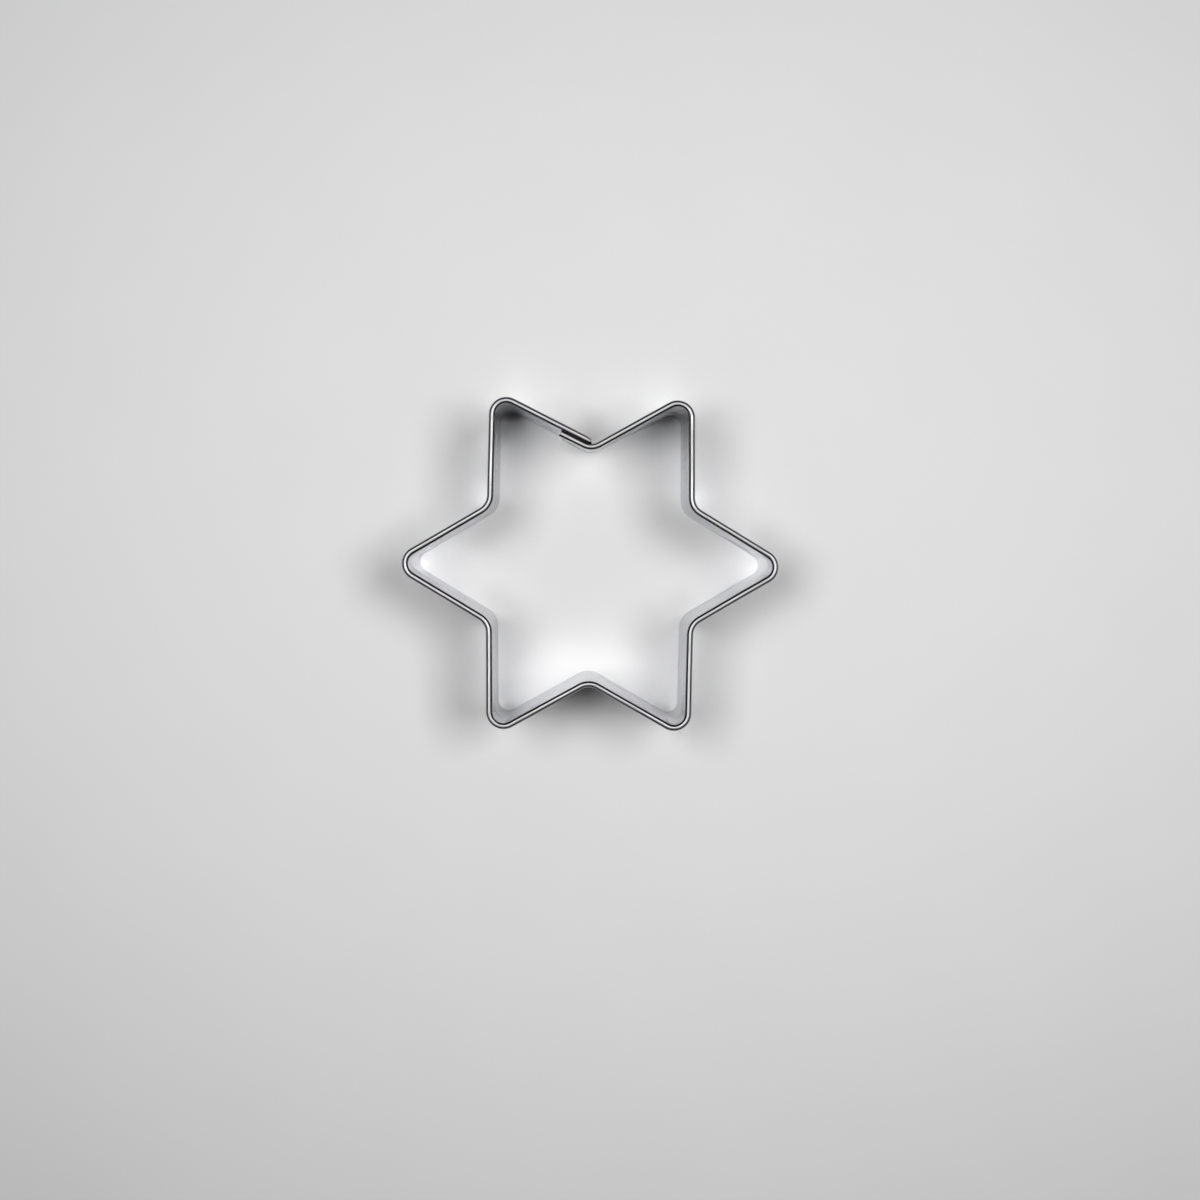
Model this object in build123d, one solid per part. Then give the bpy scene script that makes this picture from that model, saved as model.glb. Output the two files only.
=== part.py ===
from build123d import *
import math
import os

os.makedirs("parts", exist_ok=True)

# A six-pointed star cutter bent from one strip of thin steel, in millimetres.
# The foot edge, which meets the dough, lies on z = 0, and the rolled rim is at the top.
# The origin is the centre of the star, and one tip points along +X.

# The star, measured to the sharp corners of the rim's middle line
tip_count = 6
tip_radius = 26.39
notch_radius = 15.45
tip_bend = 1.9
notch_bend = 2.4

# The strip: bare sheet with its upper edge folded outward and back down on itself
height = 20.0
sheet = 0.35
hem_gap = 0.15
hem_depth = 2.0

# The lap in the notch at +Y, where the strip's two ends pass side by side
lap_notch_radius = 15.4
lap_bend = 2.2
lap_run = 3.5
lap_clearance = 0.02
lean_height = 4.0

# The spot welds that hold the lap, one above the other
weld_diameter = 1.8
weld_dimple = 0.05
lower_weld_share = 0.28
upper_weld_share = 0.80

# Where the folded hem starts, and where the leaning lap has become flush
bead_width = 2 * sheet + hem_gap
bead_radius = bead_width / 2
bead_centre = height - bead_radius
hem_foot = height - hem_depth
flush_height = hem_foot - lean_height
wall_inner = -bead_radius
wall_outer = wall_inner + sheet
leg_inner = wall_outer + hem_gap

# In the lap the rims lie side by side, and below them the walls close up
rim_shift = bead_width + lap_clearance
foot_shift = sheet + lap_clearance


def polar(radius, angle):
    turn = math.radians(angle)
    return Vector(radius * math.cos(turn), radius * math.sin(turn))


def left_of(start, end):
    run = (end - start).normalized()
    return Vector(-run.Y, run.X)


def crossing(point, run, other, other_run):
    # Where a line through one point meets a line through another
    gap = other - point
    reach = (gap.X * other_run.Y - gap.Y * other_run.X) / (run.X * other_run.Y - run.Y * other_run.X)
    return point + run * reach


# Corners that both ends of the strip keep, from the first tip clockwise to the last
step = 360 / tip_count
first_tip = 90 - step / 2
corners = []
corner_bends = []
for index in range(2 * tip_count - 1):
    is_tip = index % 2 == 0
    corners.append(polar(tip_radius if is_tip else notch_radius, first_tip - index * step / 2))
    corner_bends.append(tip_bend if is_tip else notch_bend)

# The inner end keeps to the star, and the outer end is pushed out past it by a rim's width
lap_notch = polar(lap_notch_radius, 90)
to_notch = lap_notch - corners[-1]
lap_aim = math.atan2(to_notch.Y, to_notch.X) + math.asin(rim_shift / to_notch.length)
lap_run_in = Vector(math.cos(lap_aim), math.sin(lap_aim))
lap_left = Vector(-lap_run_in.Y, lap_run_in.X)
notch_run = (lap_notch - corners[0]).normalized()
lap_turn = math.acos(notch_run.dot(lap_run_in) * -1)

# Both ends turn in the notch about one centre
bend_outward = (lap_left - left_of(corners[0], lap_notch)).normalized()
bend_centre = lap_notch + bend_outward * (lap_bend / math.cos(lap_turn / 2))
outer_bend = lap_bend - rim_shift


def inner_end(shift):
    # Corners and bend of the inner end, for a lap this far from the outer end
    bend = outer_bend + shift
    reach = bend_centre - corners[0]
    aim = math.atan2(reach.Y, reach.X) + math.asin(bend / reach.length)
    run = Vector(math.cos(aim), math.sin(aim))
    notch = crossing(corners[0], run, corners[-1] - lap_left * shift, lap_run_in)
    return [bend_centre - lap_left * bend - lap_run_in * lap_run, notch], [bend]


def outer_end():
    # The last point only gives the way that the outer end faces where its bend stops
    half = lap_turn / 2
    corner = bend_centre - lap_left * outer_bend + lap_run_in * (outer_bend * math.tan(half / 2))
    return [corner, corner + lap_run_in * math.cos(half) + lap_left * math.sin(half)], [outer_bend]


def strip_line(shift):
    first, first_bends = inner_end(shift)
    last, last_bends = outer_end()
    return first + corners + last, first_bends + corner_bends + last_bends


def beside(line, side):
    # Edges of the same bent line, this far to its left, with its bends kept concentric
    points, bends = line
    runs = [(b - a).normalized() for a, b in zip(points, points[1:])]
    lefts = [left_of(a, b) for a, b in zip(points, points[1:])]
    here = points[0] + lefts[0] * side
    edges = []
    for index, bend in enumerate(bends):
        run, next_run = runs[index], runs[index + 1]
        left, next_left = lefts[index], lefts[index + 1]
        corner = points[index + 1] + (left + next_left) * (side / (1 + left.dot(next_left)))
        turns_left = run.X * next_run.Y - run.Y * next_run.X > 0
        radius = bend - side if turns_left else bend + side
        cut = radius * math.tan(math.acos(run.dot(next_run)) / 2)
        edges.append(Line(here, corner - run * cut).edge())
        here = corner + next_run * cut
        edges.append(TangentArc(corner - run * cut, here, tangent=run).edge())
    return edges


def ribbon(line, side, other_side, level):
    near = beside(line, side)
    far = beside(line, other_side)
    ends = [Line(near[0] @ 0, far[0] @ 0).edge(), Line(near[-1] @ 1, far[-1] @ 1).edge()]
    return Pos(0, 0, level) * make_face(near + far + ends)


rim_line = strip_line(rim_shift)
foot_line = strip_line(foot_shift)

# Plain wall: upright at the foot, then leaning across to the rim in the lap alone
foot_wall = extrude(ribbon(foot_line, wall_inner, wall_outer, 0), flush_height)
leaning_wall = loft(
    [
        ribbon(foot_line, wall_inner, wall_outer, flush_height),
        ribbon(rim_line, wall_inner, wall_outer, hem_foot),
    ],
    ruled=True,
)

# Rim: the wall's top, the full round over it and the leg turned back down outside
rim_path = Wire(beside(rim_line, 0))
start_left = left_of(*rim_line[0][:2])
rim_plane = Plane(rim_path @ 0, x_dir=start_left, z_dir=start_left.cross(Vector(0, 0, 1)))
rim_outline = [
    Line((wall_inner, hem_foot), (wall_inner, bead_centre)),
    ThreePointArc((wall_inner, bead_centre), (0, height), (bead_radius, bead_centre)),
    Line((bead_radius, bead_centre), (bead_radius, hem_foot)),
    Line((bead_radius, hem_foot), (leg_inner, hem_foot)),
    Line((leg_inner, hem_foot), (leg_inner, bead_centre)),
    ThreePointArc((leg_inner, bead_centre), (0, bead_centre + hem_gap / 2), (wall_outer, bead_centre)),
    Line((wall_outer, bead_centre), (wall_outer, hem_foot)),
    Line((wall_outer, hem_foot), (wall_inner, hem_foot)),
]
rim = sweep(rim_plane * make_face([part.edge() for part in rim_outline]), rim_path)

star_strip = foot_wall + leaning_wall + rim

# Spot welds: round slugs through both walls of the lap, pressed in a little at each side
lap_middle = bend_centre - lap_left * outer_bend - lap_run_in * (lap_run / 2)
lap_thickness = 2 * sheet + lap_clearance
lap_centre = lap_middle + lap_left * (wall_outer - lap_thickness / 2)


def weld(share, length):
    level = Vector(0, 0, flush_height * share)
    return Plane(lap_centre + level, x_dir=lap_run_in, z_dir=lap_left) * Cylinder(weld_diameter / 2, length)


welds = {"lower_spot_weld": lower_weld_share, "upper_spot_weld": upper_weld_share}
for name, share in welds.items():
    star_strip -= weld(share, lap_thickness)
    export_step(weld(share, lap_thickness - 2 * weld_dimple), f"parts/{name}.step")
export_step(star_strip, "parts/star_strip.step")
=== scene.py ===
import bmesh
import bpy
import math
from mathutils import Matrix, Vector, noise


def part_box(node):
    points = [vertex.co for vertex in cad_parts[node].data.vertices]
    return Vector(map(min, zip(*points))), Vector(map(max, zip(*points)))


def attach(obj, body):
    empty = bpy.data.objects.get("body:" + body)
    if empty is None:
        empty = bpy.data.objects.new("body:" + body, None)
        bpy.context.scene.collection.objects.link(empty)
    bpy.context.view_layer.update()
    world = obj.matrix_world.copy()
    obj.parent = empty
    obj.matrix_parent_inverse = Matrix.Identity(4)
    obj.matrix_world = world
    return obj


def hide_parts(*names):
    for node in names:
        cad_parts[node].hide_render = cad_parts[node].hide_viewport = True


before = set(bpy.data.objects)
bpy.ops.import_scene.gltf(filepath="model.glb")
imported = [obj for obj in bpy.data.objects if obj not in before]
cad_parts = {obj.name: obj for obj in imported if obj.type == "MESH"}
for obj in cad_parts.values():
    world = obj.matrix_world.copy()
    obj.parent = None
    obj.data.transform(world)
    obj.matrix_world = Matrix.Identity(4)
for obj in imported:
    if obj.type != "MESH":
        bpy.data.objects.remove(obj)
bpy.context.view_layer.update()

mm = 0.001
up = Vector((0, 0, 1))
bpy.context.scene.view_settings.view_transform = "Standard"
bpy.context.scene.cycles.blur_glossy = 0.0  # light thrown by the steel keeps its shape on the floor


def addObject(name, mesh):
    piece = bpy.data.objects.new(name, mesh)
    bpy.context.scene.collection.objects.link(piece)
    return piece


def meshFrom(work, name):
    mesh = bpy.data.meshes.new(name)
    work.to_mesh(mesh)
    work.free()
    return mesh


# The strip of thin steel, bent into a star, with its two ends lapped in one notch
steelStrip = {
    "tipCount": 6,
    "tipRadius": 26.39 * mm,   # sharp corners of the rim's middle line
    "notchRadius": 15.45 * mm,
    "tipBend": 1.9 * mm,
    "notchBend": 2.4 * mm,
    "height": 20 * mm,
    "sheet": 0.35 * mm,
    "hemGap": 0.15 * mm,
    "hemDepth": 2 * mm,
    "lapNotchRadius": 15.4 * mm,
    "lapBend": 2.2 * mm,
    "lapRun": 3.5 * mm,
    "lapClearance": 0.02 * mm,
    "leanHeight": 4 * mm,
    "edgeRound": 0.04 * mm,    # the sheared edge's small burr round
    "edgeSupport": 0.08 * mm,
    "edgeReach": 0.06 * mm,    # faces this near an edge take the sheared finish
    "edgeSteps": 3,
    "wallRows": 10,
    "leanRows": 10,
    "hemRows": 3,
    "beadSteps": 24,
    "gapSteps": 10,
    "runSteps": 14,
    "lapSteps": 6,
    "tipSteps": 24,
    "notchSteps": 12,
    "waveSize": 9 * mm,        # hand-formed sheet is never quite flat
    "waveDepth": 0.035 * mm,
    "waveSeed": 7,             # the same wander each run
    "endPress": 0.9 * mm,      # how much of the outer end's rim is pressed down and pinched
    "endDrop": 0.10 * mm,
    "endPinch": 0.45,
    "sharpAngle": 35,
}


def polar(radius, degrees):
    turn = math.radians(degrees)
    return Vector((radius * math.cos(turn), radius * math.sin(turn), 0))


def leftOf(way):
    return Vector((-way.y, way.x, 0))


def starFacts(strip):
    # Lengths and turns of the rim's middle line, worked out from the star's corners
    step = 180 / strip["tipCount"]
    tip, notch = polar(strip["tipRadius"], 0), polar(strip["notchRadius"], step)
    firstTip, lastTip = polar(strip["tipRadius"], 90 - step), polar(strip["tipRadius"], 90 + step)
    lapNotch = Vector((0, strip["lapNotchRadius"], 0))
    side = (tip - notch).length
    halfTip = math.atan2(notch.y, tip.x - notch.x)
    facts = {"side": side, "tipTurn": math.pi - 2 * halfTip, "lapNotch": lapNotch}
    facts["notchTurn"] = facts["tipTurn"] - math.radians(2 * step)
    facts["tipCut"] = strip["tipBend"] * math.tan(facts["tipTurn"] / 2)
    facts["notchCut"] = strip["notchBend"] * math.tan(facts["notchTurn"] / 2)
    facts["bead"] = 2 * strip["sheet"] + strip["hemGap"]
    facts["rimShift"] = facts["bead"] + strip["lapClearance"]
    # The lap: the outer end comes from the last tip, swung out past the inner end by a rim's width
    toNotch = lapNotch - lastTip
    swing = math.asin(facts["rimShift"] / toNotch.length)
    facts["lapWay"] = Matrix.Rotation(swing, 3, "Z") @ toNotch.normalized()
    fromNotch = firstTip - lapNotch
    facts["lapTurn"] = facts["lapWay"].angle(fromNotch)
    facts["lapCut"] = strip["lapBend"] * math.tan(facts["lapTurn"] / 2)
    facts["firstTurn"] = fromNotch.angle(polar(strip["notchRadius"], 90 - 2 * step) - firstTip)
    facts["lastTurn"] = (lastTip - polar(strip["notchRadius"], 90 + 2 * step)).angle(facts["lapWay"])
    firstCut, lastCut = (
        strip["tipBend"] * math.tan(facts[turn] / 2) for turn in ("firstTurn", "lastTurn")
    )
    facts["afterLap"] = fromNotch.length - facts["lapCut"] - firstCut
    outward = (leftOf(facts["lapWay"]) + leftOf(fromNotch.normalized())).normalized()
    centre = lapNotch + outward * (strip["lapBend"] / math.cos(facts["lapTurn"] / 2))
    facts["beforeLap"] = (centre - lastTip).dot(facts["lapWay"]) - lastCut
    facts["beforeLast"] = side - facts["notchCut"] - lastCut
    facts["afterFirst"] = side - facts["notchCut"] - firstCut
    return facts


def drawRun(work, corner, step, count):
    for _ in range(count):
        corner = bmesh.ops.extrude_vert_indiv(work, verts=[corner])["verts"][0]
        corner.co += step / count
    return corner


def drawBend(work, corner, centre, axis, angle, steps):
    turned = bmesh.ops.spin(work, geom=[corner], cent=centre, axis=axis, angle=angle, steps=steps)
    return [part for part in turned["geom_last"] if isinstance(part, bmesh.types.BMVert)][0]


def drawSection(work, strip, facts, start, outward, heading):
    # The sheet's cut section: up the wall, over the round hem, down its leg and back inside
    half, sheet = facts["bead"] / 2, strip["sheet"]
    small, support = strip["edgeRound"], strip["edgeSupport"]
    beadCentre = strip["height"] - half
    hemFoot = strip["height"] - strip["hemDepth"]
    flush = hemFoot - strip["leanHeight"]

    def at(across, height):
        return start + outward * across + up * height

    def climb(corner, way):
        heights = [small, small + support, flush, hemFoot, beadCentre]
        counts = [1, strip["wallRows"], strip["leanRows"], strip["hemRows"]]
        legs = [(high - low, count) for low, high, count in zip(heights, heights[1:], counts)]
        for length, count in legs[::way]:
            corner = drawRun(work, corner, up * length * way, count)
        return corner

    def turnEdge(corner, turn, along):
        # Round a sheared edge of the sheet, from one face to the other
        centre = corner.co + along * small
        corner = drawBend(work, corner, centre, -heading, turn, strip["edgeSteps"])
        corner = drawRun(work, corner, along * (sheet - 2 * small), 1)
        return drawBend(work, corner, corner.co + up * small, -heading, turn, strip["edgeSteps"])

    first = corner = work.verts.new(at(-half, small))
    corner = climb(corner, 1)
    corner = drawBend(work, corner, at(0, beadCentre), -heading, math.pi, strip["beadSteps"])
    legRun = beadCentre - hemFoot - small - support
    corner = drawRun(work, corner, -up * legRun, strip["hemRows"])
    corner = drawRun(work, corner, -up * support, 1)
    corner = turnEdge(corner, math.pi / 2, -outward)
    corner = drawRun(work, corner, up * support, 1)
    corner = drawRun(work, corner, up * legRun, strip["hemRows"])
    corner = drawBend(work, corner, at(0, beadCentre), -heading, -math.pi, strip["gapSteps"])
    corner = climb(corner, -1)
    corner = turnEdge(corner, math.pi / 2, -outward)
    bmesh.ops.remove_doubles(work, verts=[first, corner], dist=small / 10)
    # Each corner keeps how far round the section it lies, for the sheet's map
    across = work.verts.layers.float["across"]
    first = min(work.verts, key=lambda corner: (corner.co - at(-half, small)).length)
    distance, corner, behind = 0.0, first, None
    while behind is None or corner is not first:
        corner[across] = distance
        edge = [part for part in corner.link_edges if part is not behind][0 if behind else -1]
        behind, nextCorner = edge, edge.other_vert(corner)
        distance += edge.calc_length()
        corner = nextCorner
    return list(work.edges), distance


class StripBender:
    # Carries the section along the star, one straight run or one bend at a time
    def __init__(self, work, section, place, heading):
        self.work, self.section = work, section
        self.place, self.heading = place.copy(), heading.copy()
        self.travel = 0.0
        layers = work.verts.layers
        self.along = layers.float["along"]
        self.lean = layers.float_vector["lean"]
        self.mark(1.0)

    def mark(self, leaning):
        outward = leftOf(self.heading)
        for edge in self.section:
            for corner in edge.verts:
                corner[self.along] = self.travel
                corner[self.lean] = outward * leaning

    def run(self, length, steps, leaning=(0.0, 0.0)):
        for index in range(steps):
            made = bmesh.ops.extrude_edge_only(self.work, edges=self.section)["geom"]
            corners = [part for part in made if isinstance(part, bmesh.types.BMVert)]
            self.section = [
                part for part in made if isinstance(part, bmesh.types.BMEdge) and part.is_boundary
            ]
            bmesh.ops.translate(self.work, verts=corners, vec=self.heading * (length / steps))
            self.travel += length / steps
            share = (index + 1) / steps
            self.mark(leaning[0] + (leaning[1] - leaning[0]) * share)
        self.place += self.heading * length

    def bend(self, radius, turn, steps, leaning=0.0):
        side = 1 if turn > 0 else -1
        centre = self.place + leftOf(self.heading) * radius * side
        oneStep = Matrix.Rotation(turn / steps, 3, "Z")
        for _ in range(steps):
            corners = list({corner for edge in self.section for corner in edge.verts})
            made = bmesh.ops.spin(
                self.work, geom=self.section + corners, cent=centre, axis=up,
                angle=turn / steps, steps=1,
            )["geom_last"]
            self.section = [part for part in made if isinstance(part, bmesh.types.BMEdge)]
            self.heading = oneStep @ self.heading
            self.place = centre + oneStep @ (self.place - centre)
            self.travel += radius * abs(turn) / steps
            self.mark(leaning)


def handFormed(place, strip):
    # A slow sideways wander, the same for everything at one place, so that laps stay together
    where = place / strip["waveSize"]
    shift = noise.noise_vector(where) * strip["waveDepth"]
    shift.z = 0
    return place + shift


def bendStrip(strip, facts):
    work = bmesh.new()
    heading = facts["lapWay"]
    outward = leftOf(heading)
    start = facts["lapNotch"] - heading * (facts["lapCut"] + strip["lapRun"])
    for layer in ("along", "across"):
        work.verts.layers.float.new(layer)
    work.verts.layers.float_vector.new("lean")
    section, girth = drawSection(work, strip, facts, start, outward, heading)
    between = facts["side"] - facts["tipCut"] - facts["notchCut"]
    bender = StripBender(work, section, start, heading)
    firstCap = bmesh.ops.contextual_create(work, geom=section)["faces"]
    bender.run(strip["lapRun"], strip["lapSteps"], (1.0, 1.0))
    bender.bend(strip["lapBend"], facts["lapTurn"], strip["notchSteps"], 1.0)
    bender.run(facts["afterLap"], strip["runSteps"], (1.0, 0.0))
    turns = [facts["firstTurn"]] + [facts["tipTurn"]] * (strip["tipCount"] - 2) + [facts["lastTurn"]]
    runs = [facts["afterFirst"]] + [between] * (2 * strip["tipCount"] - 4) + [facts["beforeLast"]]
    for index, turn in enumerate(turns):
        bender.bend(strip["tipBend"], -turn, strip["tipSteps"])
        if index < len(turns) - 1:
            bender.run(runs[2 * index], strip["runSteps"])
            bender.bend(strip["notchBend"], facts["notchTurn"], strip["notchSteps"])
            bender.run(runs[2 * index + 1], strip["runSteps"])
    bender.run(facts["beforeLap"], strip["runSteps"])
    outerBend = strip["lapBend"] - facts["rimShift"]
    bender.bend(outerBend, facts["lapTurn"] / 2, strip["notchSteps"] // 2)
    lastCap = bmesh.ops.contextual_create(work, geom=bender.section)["faces"]
    for cap in firstCap + lastCap:
        cap.material_index = 1
    print("strip bent:", round(bender.travel / mm, 1), "mm of rim,", len(work.faces), "faces")
    return work, bender, girth


def layPattern(work, strip, girth):
    # A map along and across the sheet for its rolling grain, and the sheared edges told apart
    along, across = work.verts.layers.float["along"], work.verts.layers.float["across"]
    pattern = work.loops.layers.uv.new("sheetMap")
    reach = strip["edgeReach"]
    hemFoot = strip["height"] - strip["hemDepth"]
    for face in work.faces:
        far = max(corner[across] for corner in face.verts)
        for loop in face.loops:
            step = loop.vert[across]
            if far - step > girth / 2:
                step += girth
            loop[pattern].uv = (loop.vert[along] / mm, step / mm)
        heights = [corner.co.z for corner in face.verts]
        atFoot = max(heights) < reach
        atHemFoot = abs(min(heights) - hemFoot) < reach and max(heights) - hemFoot < reach
        if atFoot or atHemFoot:
            face.material_index = 1


def closeLap(work, bender, strip, facts):
    # Below the rims the lapped wall leans across until the two walls lie flush
    hemFoot = strip["height"] - strip["hemDepth"]
    reach = strip["sheet"] + strip["hemGap"]
    for corner in work.verts:
        share = min(max((hemFoot - corner.co.z) / strip["leanHeight"], 0.0), 1.0)
        corner.co += corner[bender.lean] * reach * share
    # The outer end's rim is pressed down and pinched a little where it was snipped
    inner = leftOf(bender.heading)
    innerFace = bender.place.dot(inner) - facts["bead"] / 2
    for corner in work.verts:
        near = 1 - min((bender.travel - corner[bender.along]) / strip["endPress"], 1)
        share = near * near * max(corner.co.z - hemFoot, 0) / strip["hemDepth"]
        corner.co.z -= share * strip["endDrop"]
        corner.co -= inner * (corner.co.dot(inner) - innerFace) * share * strip["endPinch"]
    for corner in work.verts:
        corner.co = handFormed(corner.co, strip)


noise.seed_set(steelStrip["waveSeed"])
facts = starFacts(steelStrip)
work, bender, girth = bendStrip(steelStrip, facts)
layPattern(work, steelStrip, girth)
closeLap(work, bender, steelStrip, facts)
bmesh.ops.recalc_face_normals(work, faces=work.faces)
for face in work.faces:
    face.smooth = True
strip = addObject("steelStrip", meshFrom(work, "steelStrip"))
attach(strip, "root")
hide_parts("star_strip")

# The two spot welds that hold the lap
spotWeld = {
    "radius": 0.9 * mm,
    "dimple": 0.05 * mm,    # how far the electrodes pressed each side in
    "dish": 0.04 * mm,
    "ringShare": 0.12,
    "rings": ((1, 0.2), (1, 0.5), (2, 0.3), (2, 0.0)),   # insets in rings, drops in dishes
    "clear": 0.002 * mm,
    "cutDepth": 1.4 * mm,
    "sides": 56,
    "creaseAngle": 60,
    "sharpAngle": 50,
    "nodes": {"lower_spot_weld": "lowerWeldSpot", "upper_spot_weld": "upperWeldSpot"},
}


def nodeMiddle(node):
    low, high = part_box(node)
    return (Vector(low) + Vector(high)) / 2


def lapPlace(middle, facts):
    # Straight through both walls of the lap, towards the outside
    turn = leftOf(facts["lapWay"]).to_track_quat("Z", "Y").to_matrix().to_4x4()
    return Matrix.Translation(middle) @ turn


def pressWeld(name, middle, weld, strip, facts):
    # A round slug of metal with a dished print and a low ring at each side
    thick = 2 * strip["sheet"] + strip["lapClearance"] - 2 * weld["dimple"]
    work = bmesh.new()
    bmesh.ops.create_cone(
        work, cap_ends=True, segments=weld["sides"],
        radius1=weld["radius"], radius2=weld["radius"], depth=thick,
    )
    ring = weld["radius"] * weld["ringShare"]
    for way in (-1, 1):
        cap = max(work.faces, key=lambda face: face.calc_center_median().z * way)
        for inset, drop in weld["rings"]:
            bmesh.ops.inset_region(work, faces=[cap], thickness=ring * inset, use_even_offset=True)
            bmesh.ops.translate(work, verts=cap.verts, vec=up * (-way * weld["dish"] * drop))
        bmesh.ops.poke(work, faces=[cap])
    crease = math.radians(weld["creaseAngle"])
    rims = [edge for edge in work.edges if edge.calc_face_angle(0) > crease]
    bmesh.ops.bevel(
        work, geom=rims, offset=weld["dish"] / 2, segments=2, profile=0.5,
        affect="EDGES", material=-1,
    )
    bmesh.ops.transform(work, matrix=lapPlace(middle, facts), verts=work.verts)
    for corner in work.verts:
        corner.co = handFormed(corner.co, strip)
    bmesh.ops.recalc_face_normals(work, faces=work.faces)
    for face in work.faces:
        face.smooth = True
    return addObject(name, meshFrom(work, name))


def cutWeldHoles(strip, weld, settings, facts):
    # The same round holes that the solids have, so that each print is a real hollow
    cutters = []
    radius = weld["radius"] + weld["clear"]
    for node in weld["nodes"]:
        work = bmesh.new()
        bmesh.ops.create_cone(
            work, cap_ends=True, segments=weld["sides"], radius1=radius, radius2=radius,
            depth=weld["cutDepth"],
        )
        bmesh.ops.transform(work, matrix=lapPlace(nodeMiddle(node), facts), verts=work.verts)
        for corner in work.verts:
            corner.co = handFormed(corner.co, settings)
        cutter = addObject(node + "Cutter", meshFrom(work, node + "Cutter"))
        cut = strip.modifiers.new(node, "BOOLEAN")
        cut.operation, cut.solver, cut.object = "DIFFERENCE", "EXACT", cutter
        cutters.append(cutter)
    seen = bpy.context.evaluated_depsgraph_get()
    whole = bpy.data.meshes.new_from_object(strip.evaluated_get(seen))
    strip.modifiers.clear()
    strip.data = whole
    for cutter in cutters:
        bpy.data.objects.remove(cutter)


cutWeldHoles(strip, spotWeld, steelStrip, facts)
strip.data.set_sharp_from_angle(angle=math.radians(steelStrip["sharpAngle"]))
welds = []
for node, name in spotWeld["nodes"].items():
    weld = pressWeld(name, nodeMiddle(node), spotWeld, steelStrip, facts)
    weld.data.set_sharp_from_angle(angle=math.radians(spotWeld["sharpAngle"]))
    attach(weld, "root")
    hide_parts(node)
    welds.append(weld)
print("spot welds pressed:", len(welds), "and", len(strip.data.polygons), "faces in the strip")


def newGroup(name, inputs, outputs):
    group = bpy.data.node_groups.new(name, "ShaderNodeTree")
    for socket, (kind, value) in inputs.items():
        made = group.interface.new_socket(name=socket, in_out="INPUT", socket_type=kind)
        if value is not None:
            made.default_value = value
    for socket in outputs:
        group.interface.new_socket(name=socket, in_out="OUTPUT", socket_type="NodeSocketFloat")
    return group, group.nodes.new("NodeGroupInput"), group.nodes.new("NodeGroupOutput")


def addNode(tree, kind, inputs=None, **choices):
    # One node with its choices made; an input is a value, or another node's socket
    node = tree.nodes.new("ShaderNode" + kind)
    for choice, value in choices.items():
        setattr(node, choice, value)
    for socket, value in (inputs or {}).items():
        if isinstance(value, bpy.types.NodeSocket):
            tree.links.new(value, node.inputs[socket])
        else:
            node.inputs[socket].default_value = value
    return node


def addMath(tree, operation, first, second=0.5, third=0.5, clamp=False):
    inputs = {0: first, 1: second, 2: third}
    return addNode(tree, "Math", inputs, operation=operation, use_clamp=clamp).outputs[0]


def addVector(tree, operation, first, second):
    return addNode(tree, "VectorMath", {0: first, 1: second}, operation=operation).outputs[0]


def addLength(tree, operation, first, second=(0, 0, 0)):
    # How far a place lies from the origin, or from another place
    return addNode(tree, "VectorMath", {0: first, 1: second}, operation=operation).outputs["Value"]


def addNoise(tree, place, settings):
    return addNode(tree, "TexNoise", {"Vector": place, **settings}).outputs[0]


def addBump(tree, height, distance, strength, under=None):
    inputs = {"Height": height, "Distance": distance, "Strength": strength}
    if under:
        inputs["Normal"] = under
    return addNode(tree, "Bump", inputs).outputs[0]


def addRange(tree, value, low, high, toLow=0.0, toHigh=1.0):
    inputs = {"Value": value, "From Min": low, "From Max": high, "To Min": toLow, "To Max": toHigh}
    return addNode(tree, "MapRange", inputs).outputs[0]


def mixColour(tree, share, first, second):
    # The two colours mixed by a mask
    mix = addNode(tree, "Mix", data_type="RGBA")
    sockets = {mix.inputs["Factor"]: share, mix.inputs[6]: first, mix.inputs[7]: second}
    for socket, value in sockets.items():
        if isinstance(value, bpy.types.NodeSocket):
            tree.links.new(value, socket)
        else:
            socket.default_value = value
    return mix.outputs[2]


vectorIn, numberIn = "NodeSocketVector", "NodeSocketFloat"


rollingGrain = {
    "across": 14.0,                  # lines in each millimetre across the sheet
    "along": 0.12,
    "fine": {"Scale": 1.0, "Detail": 4.0, "Roughness": 0.65},
    "fineRange": (0.3, 0.7),
    "broadBy": (0.6, 0.11, 1.0),
    "broad": {"Scale": 1.0, "Detail": 2.0, "Roughness": 0.5},
    "broadRange": (0.35, 0.65),
}


def makeRollingGrain(choices):
    # Fine lines left along the sheet by the rolls, broken up every few millimetres
    group, given, result = newGroup(
        "rollingGrain",
        {
            "Map": (vectorIn, None),
            "Along": (numberIn, choices["along"]),
            "Across": (numberIn, choices["across"]),
        },
        ["Lines", "Bands"],
    )
    scale = addNode(
        group, "CombineXYZ", {"X": given.outputs["Along"], "Y": given.outputs["Across"], "Z": 1.0}
    )
    stretched = addVector(group, "MULTIPLY", given.outputs["Map"], scale.outputs[0])
    fine = addNoise(group, stretched, choices["fine"])
    broad = addNoise(group, addVector(group, "MULTIPLY", stretched, choices["broadBy"]), choices["broad"])
    group.links.new(addRange(group, fine, *choices["fineRange"]), result.inputs["Lines"])
    group.links.new(addRange(group, broad, *choices["broadRange"]), result.inputs["Bands"])
    return group


handlingMarks = {
    "cloud": {"Scale": 1.0, "Detail": 5.0, "Roughness": 0.6},
    "cloudRange": (0.50, 0.68),
    "scratch": {"Scale": 2.6, "Detail": 1.0, "Distortion": 1.4},
    "scratchWidth": 0.006,
    "patch": {"Scale": 0.9, "Detail": 0.0},    # scratches come in patches
    "patchRange": (0.52, 0.60),
}


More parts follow.
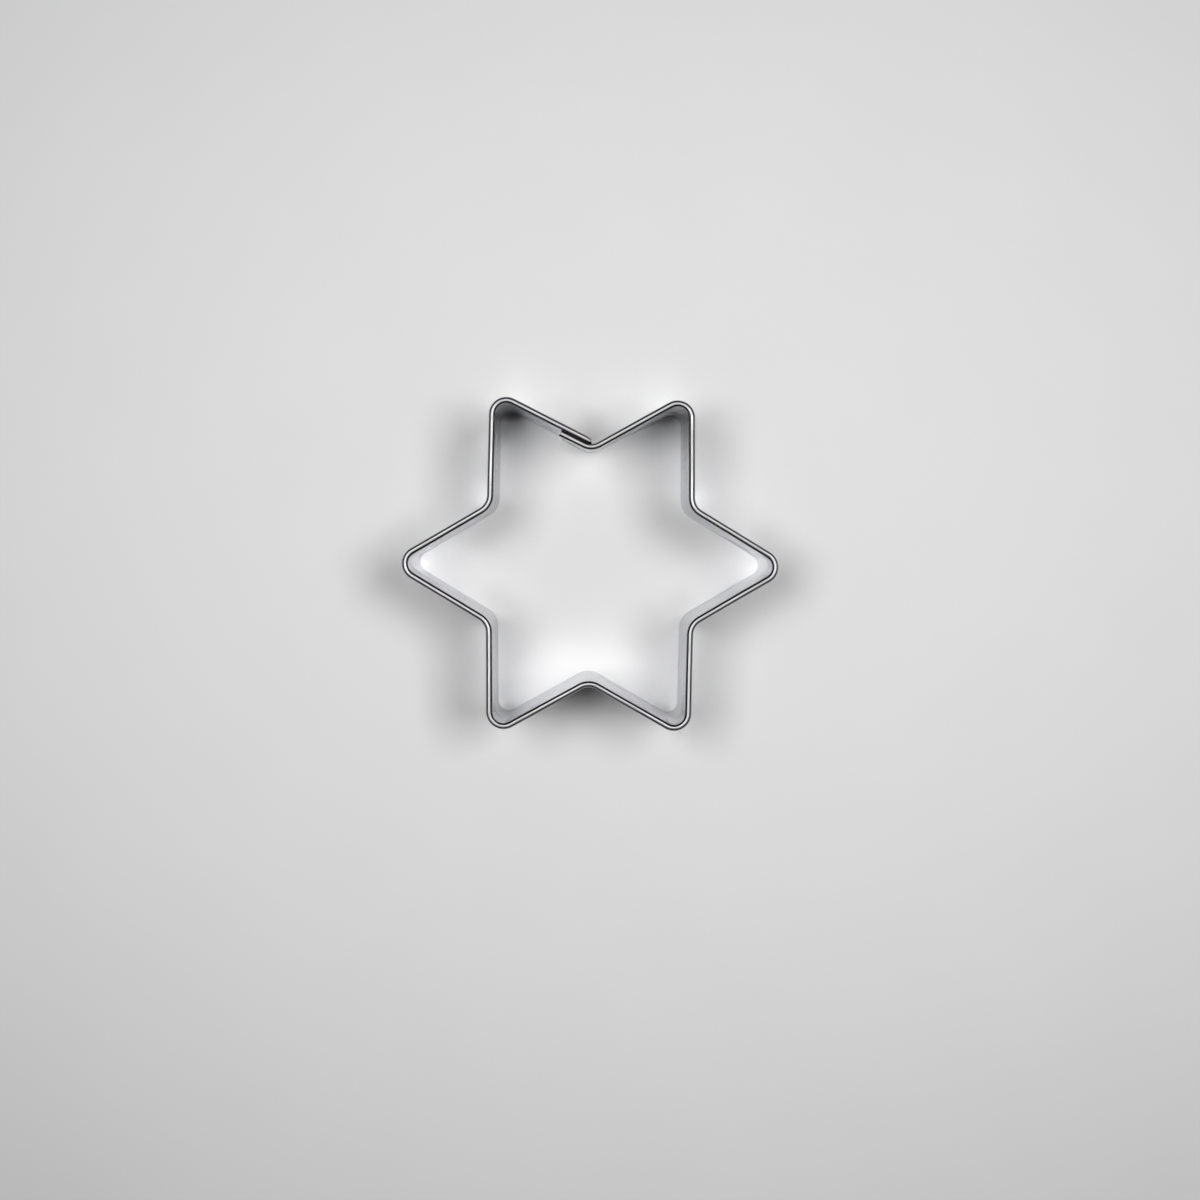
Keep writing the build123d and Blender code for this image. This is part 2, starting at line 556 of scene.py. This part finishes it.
def makeHandling(choices):
    # Smudges from fingers and dough, and stray fine scratches
    group, given, result = newGroup(
        "handling", {"Place": (vectorIn, None), "Size": (numberIn, 4 * mm)}, ["Smudge", "Scratch"]
    )
    inverse = addMath(group, "DIVIDE", 1.0, given.outputs["Size"])
    sized = addNode(
        group, "VectorMath", {0: given.outputs["Place"], "Scale": inverse}, operation="SCALE"
    ).outputs[0]
    cloud = addNoise(group, sized, choices["cloud"])
    group.links.new(addRange(group, cloud, *choices["cloudRange"]), result.inputs["Smudge"])
    middle = addMath(group, "SUBTRACT", addNoise(group, sized, choices["scratch"]), 0.5)
    thin = addRange(group, addMath(group, "ABSOLUTE", middle), 0.0, choices["scratchWidth"], 1.0, 0.0)
    patch = addRange(group, addNoise(group, sized, choices["patch"]), *choices["patchRange"])
    group.links.new(addMath(group, "MULTIPLY", thin, patch), result.inputs["Scratch"])
    return group


heatTint = {
    "wobble": {"Scale": 1500.0, "Detail": 2.0},
    "wobbleRange": (0.3, 0.7),
    "wobbleBy": (-0.12, 0.12),
    "warm": (0.5, 1.0),              # shares of the ring's reach
    "core": (0.25, 0.45),
}


def makeHeatRing(choices):
    # The faint tint that a weld leaves around itself
    group, given, result = newGroup(
        "heatRing",
        {"Place": (vectorIn, None), "Middle": (vectorIn, None), "Reach": (numberIn, 2 * mm)},
        ["Warm", "Core"],
    )
    away = addLength(group, "DISTANCE", given.outputs["Place"], given.outputs["Middle"])
    share = addMath(group, "DIVIDE", away, given.outputs["Reach"])
    wobble = addNoise(group, given.outputs["Place"], choices["wobble"])
    wobble = addRange(group, wobble, *choices["wobbleRange"], *choices["wobbleBy"])
    share = addMath(group, "ADD", share, wobble)
    group.links.new(addRange(group, share, *choices["warm"], 1.0, 0.0), result.inputs["Warm"])
    group.links.new(addRange(group, share, *choices["core"], 1.0, 0.0), result.inputs["Core"])
    return group


groups = {
    "grain": makeRollingGrain(rollingGrain),
    "handling": makeHandling(handlingMarks),
    "heat": makeHeatRing(heatTint),
}


def addGroup(tree, group, inputs):
    node = tree.nodes.new("ShaderNodeGroup")
    node.node_tree = groups[group]
    for socket, value in inputs.items():
        if isinstance(value, bpy.types.NodeSocket):
            tree.links.new(value, node.inputs[socket])
        else:
            node.inputs[socket].default_value = value
    return node


def newFinish(name, **fixed):
    finish = bpy.data.materials.new(name)
    finish.use_nodes = True
    shader = finish.node_tree.nodes["Principled BSDF"]
    for socket, value in fixed.items():
        shader.inputs[socket.replace("_", " ")].default_value = value
    return finish, finish.node_tree, shader


sheetFinish = {
    "bright": (0.56, 0.56, 0.585, 1),
    "dull": (0.505, 0.505, 0.53, 1),
    "grainAlong": 0.03,
    "lineShare": 0.45,                    # fine lines against broad bands in the tone
    "toneShare": 0.69,
    "roughness": (0.17, 0.25),
    "smudgeSize": 6 * mm,
    "smudgeAdds": 0.10,
    "scratchAdds": 0.12,
    "warm": (0.50, 0.44, 0.38, 1),        # heat tint round each weld
    "warmReach": 1.9 * mm,
    "warmShare": 0.55,
    "flankShade": (0.25, 0.24, 0.28, 1),   # painted shade: the rim's rounded flanks darkened, standing in for the dark room they mirror
    # the painted flank shade is made lighter within lapReach of the lap
    "lapFlankShade": (0.37, 0.355, 0.35, 1),
    "lapReach": (2.5 * mm, 4.5 * mm),
    "flankRoughness": 0.15,
    "flankShares": (0.92, 1.04),          # where they end, in quarter turns from the crown
    "crownShade": (0.30, 0.30, 0.30, 1),   # painted shade: the rim's crown darkened to dim its highlight
    "crownRoughness": 0.40,
    "crownShares": (0.22, 0.32),
    "tipCornerShade": (0.33, 0.33, 0.34, 1),     # painted shade: darker, mottled walls in the corners inside the tips
    "tipCornerShadeFrom": (22.2 * mm, 24.0 * mm),
    "tipCornerShadeShares": (0.25, 0.80),
    "dents": {"Scale": 260.0, "Detail": 1.5},
    "dentDepth": 0.012 * mm,
    "grainDepth": 0.0012 * mm,
    "grainStrength": 0.6,
}


def rimMask(tree, sheetMap, strip, shares):
    # 1 along the rim's crown, falling away around its bend between two shares of a quarter turn
    quarter = facts["bead"] * math.pi / 4 / mm
    crown = (strip["height"] - facts["bead"] / 2 - strip["edgeRound"]) / mm + quarter
    across = addNode(tree, "SeparateXYZ", {0: sheetMap}).outputs["Y"]
    away = addMath(tree, "ABSOLUTE", addMath(tree, "SUBTRACT", across, crown))
    return addRange(tree, away, shares[0] * quarter, shares[1] * quarter, 1.0, 0.0)


def makeSheetFinish(choices, weldMiddles):
    finish, tree, shader = newFinish("rolledSteel", Metallic=1.0)
    sheetMap = addNode(tree, "UVMap", uv_map="sheetMap").outputs[0]
    place = addNode(tree, "TexCoord").outputs["Object"]
    grain = addGroup(tree, "grain", {"Map": sheetMap, "Along": choices["grainAlong"]})
    handling = addGroup(tree, "handling", {"Place": place, "Size": choices["smudgeSize"]})
    lines, bands = grain.outputs["Lines"], grain.outputs["Bands"]
    tone = addMath(tree, "MULTIPLY_ADD", lines, choices["lineShare"], bands)
    tone = addMath(tree, "MULTIPLY", tone, choices["toneShare"], clamp=True)
    colour = mixColour(tree, tone, choices["bright"], choices["dull"])
    for middle in weldMiddles:
        ring = {"Place": place, "Middle": middle, "Reach": choices["warmReach"]}
        warm = addMath(tree, "MULTIPLY", addGroup(tree, "heat", ring).outputs["Warm"], choices["warmShare"])
        colour = mixColour(tree, warm, colour, choices["warm"])
    level = addVector(tree, "MULTIPLY", place, (1, 1, 0))
    # Painted shade in the corners inside the tips, mottled by the smudge pattern
    mottled = addRange(tree, handling.outputs["Smudge"], 0.0, 1.0, *choices["tipCornerShadeShares"])
    inTips = addRange(tree, addLength(tree, "LENGTH", level), *choices["tipCornerShadeFrom"])
    colour = mixColour(tree, addMath(tree, "MULTIPLY", inTips, mottled), colour, choices["tipCornerShade"])
    # Painted shade on the rim: dark flanks standing in for the dark room they mirror, and a darker crown
    # that dims its highlight
    flank, crown = (
        rimMask(tree, sheetMap, steelStrip, choices[part]) for part in ("flankShares", "crownShares")
    )
    # The painted flank shade is lighter near the lap
    fromLap = addLength(tree, "DISTANCE", level, facts["lapNotch"])
    inLap = addRange(tree, fromLap, *choices["lapReach"], 1.0, 0.0)
    flankShade = mixColour(tree, inLap, choices["flankShade"], choices["lapFlankShade"])
    colour = mixColour(tree, flank, colour, flankShade)
    colour = mixColour(tree, crown, colour, choices["crownShade"])
    tree.links.new(colour, shader.inputs["Base Color"])
    rough = addRange(tree, tone, 0.0, 1.0, *choices["roughness"])
    rough = addRange(tree, flank, 0.0, 1.0, rough, choices["flankRoughness"])
    rough = addRange(tree, crown, 0.0, 1.0, rough, choices["crownRoughness"])
    for mark, adds in (("Smudge", "smudgeAdds"), ("Scratch", "scratchAdds")):
        rough = addMath(tree, "MULTIPLY_ADD", handling.outputs[mark], choices[adds], rough)
    tree.links.new(rough, shader.inputs["Roughness"])
    dented = addBump(tree, addNoise(tree, place, choices["dents"]), choices["dentDepth"], 1.0)
    lined = addBump(tree, lines, choices["grainDepth"], choices["grainStrength"], dented)
    tree.links.new(lined, shader.inputs["Normal"])
    return finish


shearedFinish = {
    "along": 9.0,
    "across": 1.5,
    "bright": (0.84, 0.84, 0.85, 1),
    "torn": (0.60, 0.60, 0.61, 1),
    "roughness": (0.24, 0.46),
    "smudgeSize": 2 * mm,
    "smudgeAdds": 0.08,
    "depth": 0.006 * mm,
    "strength": 0.7,
}


def makeEdgeFinish(choices):
    # Sheared edge: half burnished by the blade, half torn, scored across the sheet
    finish, tree, shader = newFinish("shearedEdge", Metallic=1.0)
    sheetMap = addNode(tree, "UVMap", uv_map="sheetMap").outputs[0]
    place = addNode(tree, "TexCoord").outputs["Object"]
    grain = {"Map": sheetMap, "Along": choices["along"], "Across": choices["across"]}
    score = addGroup(tree, "grain", grain).outputs["Lines"]
    smudge = addGroup(tree, "handling", {"Place": place, "Size": choices["smudgeSize"]}).outputs["Smudge"]
    colour = mixColour(tree, score, choices["bright"], choices["torn"])
    tree.links.new(colour, shader.inputs["Base Color"])
    rough = addRange(tree, score, 0.0, 1.0, *choices["roughness"])
    rough = addMath(tree, "MULTIPLY_ADD", smudge, choices["smudgeAdds"], rough)
    tree.links.new(rough, shader.inputs["Roughness"])
    tree.links.new(addBump(tree, score, choices["depth"], choices["strength"]), shader.inputs["Normal"])
    return finish


weldFinish = {
    "reach": 1.0 * mm,
    "ring": (0.46, 0.47, 0.53, 1),
    "straw": (0.66, 0.60, 0.52, 1),
    "core": (0.55, 0.54, 0.53, 1),
    "soot": (0.36, 0.34, 0.33, 1),
    "sootShare": 0.5,
    "roughness": (0.30, 0.48),
    "smudgeSize": 1.2 * mm,
    "smudgeAdds": 0.1,
    "pits": {"Scale": 6000.0, "Detail": 3.0},
    "pitDepth": 0.01 * mm,
    "pitStrength": 0.6,
}


def makeWeldFinish(choices, middle):
    # Pressed print: matte and darker in its core, straw and blue tint towards its ring
    finish, tree, shader = newFinish("weldSpot", Metallic=1.0)
    place = addNode(tree, "TexCoord").outputs["Object"]
    heat = addGroup(tree, "heat", {"Place": place, "Middle": middle, "Reach": choices["reach"]})
    smudge = addGroup(tree, "handling", {"Place": place, "Size": choices["smudgeSize"]}).outputs["Smudge"]
    colour = mixColour(tree, heat.outputs["Warm"], choices["ring"], choices["straw"])
    colour = mixColour(tree, heat.outputs["Core"], colour, choices["core"])
    soot = addMath(tree, "MULTIPLY", smudge, choices["sootShare"])
    colour = mixColour(tree, soot, colour, choices["soot"])
    tree.links.new(colour, shader.inputs["Base Color"])
    rough = addRange(tree, heat.outputs["Core"], 0.0, 1.0, *choices["roughness"])
    rough = addMath(tree, "MULTIPLY_ADD", smudge, choices["smudgeAdds"], rough)
    tree.links.new(rough, shader.inputs["Roughness"])
    pitted = addBump(
        tree, addNoise(tree, place, choices["pits"]), choices["pitDepth"], choices["pitStrength"]
    )
    tree.links.new(pitted, shader.inputs["Normal"])
    return finish


weldMiddles = [nodeMiddle(node) for node in spotWeld["nodes"]]
strip.data.materials.clear()
strip.data.materials.append(makeSheetFinish(sheetFinish, weldMiddles))
strip.data.materials.append(makeEdgeFinish(shearedFinish))
for weld, middle in zip(welds, weldMiddles):
    weld.data.materials.append(makeWeldFinish(weldFinish, middle))
print("finishes made:", len(bpy.data.materials))

pageFloor = {
    "reach": 1.2,
    "middle": (0.018, 0.014, 0.0),   # where the painted pool of light on the page is brightest
    "shadeFade": (0.19, 0.15),            # how far the painted shade takes to darken the page, across and up it
    "near": (0.79, 0.79, 0.79, 1),
    "far": (0.54, 0.54, 0.545, 1),
    "roughness": 0.75,
    "specular": 0.2,
    "mottle": {"Scale": 60.0, "Detail": 4.0},
    "mottleRange": (0.3, 0.7),
    "mottleTone": (0.985, 1.0),
    "tooth": {"Scale": 2500.0, "Detail": 3.0},
    "toothDepth": 0.01 * mm,
    "toothStrength": 0.3,
    "backdropFrom": (0.122, 0.19),   # beyond this the page shows as a plain pale backdrop
    "backdrop": (0.57, 0.57, 0.57, 1),
}


def shownRay(tree):
    # 1 where the camera, a shiny surface or glass looks straight at this
    path = addNode(tree, "LightPath")
    seen = addMath(tree, "ADD", path.outputs["Is Camera Ray"], path.outputs["Is Glossy Ray"])
    return addMath(tree, "ADD", seen, path.outputs["Is Transmission Ray"], clamp=True)


def makePageFinish(choices):
    finish, tree, shader = newFinish("pagePaper", Roughness=choices["roughness"])
    shader.inputs["Specular IOR Level"].default_value = choices["specular"]
    shader.inputs["Emission Strength"].default_value = 1.0
    place = addNode(tree, "TexCoord").outputs["Object"]
    # Painted light and shade: the page's colour is lightest at its middle and darker towards its edges
    across, tall = choices["shadeFade"]
    moved = addVector(tree, "SUBTRACT", place, choices["middle"])
    sized = addVector(tree, "MULTIPLY", moved, (1 / across, 1 / tall, 1.0))
    paintedFalloff = addMath(tree, "POWER", addLength(tree, "LENGTH", sized), 2.0, clamp=True)
    colour = mixColour(tree, paintedFalloff, choices["near"], choices["far"])
    mottle = addNoise(tree, place, choices["mottle"])
    shade = addRange(tree, mottle, *choices["mottleRange"], *choices["mottleTone"])
    grey = addNode(tree, "CombineXYZ", {"X": shade, "Y": shade, "Z": shade}).outputs[0]
    tint = addVector(tree, "MULTIPLY", colour, grey)
    backdrop = addRange(tree, addLength(tree, "LENGTH", place), *choices["backdropFrom"])
    backdrop = addMath(tree, "MULTIPLY", backdrop, shownRay(tree))
    black = (0, 0, 0, 1)
    tree.links.new(mixColour(tree, backdrop, tint, black), shader.inputs["Base Color"])
    glow = mixColour(tree, backdrop, black, choices["backdrop"])
    tree.links.new(glow, shader.inputs["Emission Color"])
    tooth = addNoise(tree, place, choices["tooth"])
    toothed = addBump(tree, tooth, choices["toothDepth"], choices["toothStrength"])
    tree.links.new(toothed, shader.inputs["Normal"])
    return finish


work = bmesh.new()
bmesh.ops.create_grid(work, x_segments=8, y_segments=8, size=pageFloor["reach"])
floor = addObject("pageFloor", meshFrom(work, "pageFloor"))
floor.data.materials.append(makePageFinish(pageFloor))
print("page laid")

softLamps = {
    "leftLamp": {"bearing": 163, "offZenith": 16, "size": (0.18, 0.15), "power": 1.265},
    "rightLamp": {"bearing": 17, "offZenith": 19.5, "size": (0.18, 0.15), "power": 1.235},
}
lampDistance = 0.5
for name, lamp in softLamps.items():
    data = bpy.data.lights.new(name, "AREA")
    data.shape = "RECTANGLE"
    data.size, data.size_y = lamp["size"]
    data.energy = lamp["power"]
    tip = Matrix.Rotation(math.radians(lamp["offZenith"]), 3, "Y") @ up
    place = Matrix.Rotation(math.radians(lamp["bearing"]), 3, "Z") @ tip * lampDistance
    lampObject = bpy.data.objects.new(name, data)
    lampObject.location = place
    lampObject.rotation_mode = "QUATERNION"
    lampObject.rotation_quaternion = (-place).to_track_quat("-Z", "Y")
    bpy.context.scene.collection.objects.link(lampObject)
print("lamps hung:", len(softLamps))

studioWorld = {"backdrop": 0.57, "room": 0.015, "bandTop": (0.06, 0.16)}


def makeWorld(choices):
    # A dim room, with a pale backdrop that shows only low down
    world = bpy.data.worlds.new("studioWorld")
    bpy.context.scene.world = world
    world.use_nodes = True
    tree = world.node_tree
    way = addNode(tree, "TexCoord").outputs["Generated"]
    height = addNode(tree, "SeparateXYZ", {0: way}).outputs["Z"]
    low, high = choices["bandTop"]
    band = addRange(tree, height, low, high, 1.0, 0.0)
    shown = addMath(tree, "MULTIPLY", band, shownRay(tree))
    room, backdrop = ((choices[level],) * 3 + (1,) for level in ("room", "backdrop"))
    tree.links.new(mixColour(tree, shown, room, backdrop), tree.nodes["Background"].inputs["Color"])


makeWorld(studioWorld)

overheadCamera = {
    "place": (-1.68 * mm, 3.18 * mm, 270 * mm),
    "tilt": (math.radians(-1.79), math.radians(-0.67), math.radians(0.65)),
    "lens": 56.6,
    "sensor": 36,
    "clip": (0.01, 10),
}
cameraData = bpy.data.cameras.new("overheadCamera")
cameraData.lens = overheadCamera["lens"]
cameraData.sensor_width = overheadCamera["sensor"]
cameraData.clip_start, cameraData.clip_end = overheadCamera["clip"]
camera = bpy.data.objects.new("overheadCamera", cameraData)
camera.location = overheadCamera["place"]
camera.rotation_euler = overheadCamera["tilt"]
bpy.context.scene.collection.objects.link(camera)
bpy.context.scene.camera = camera
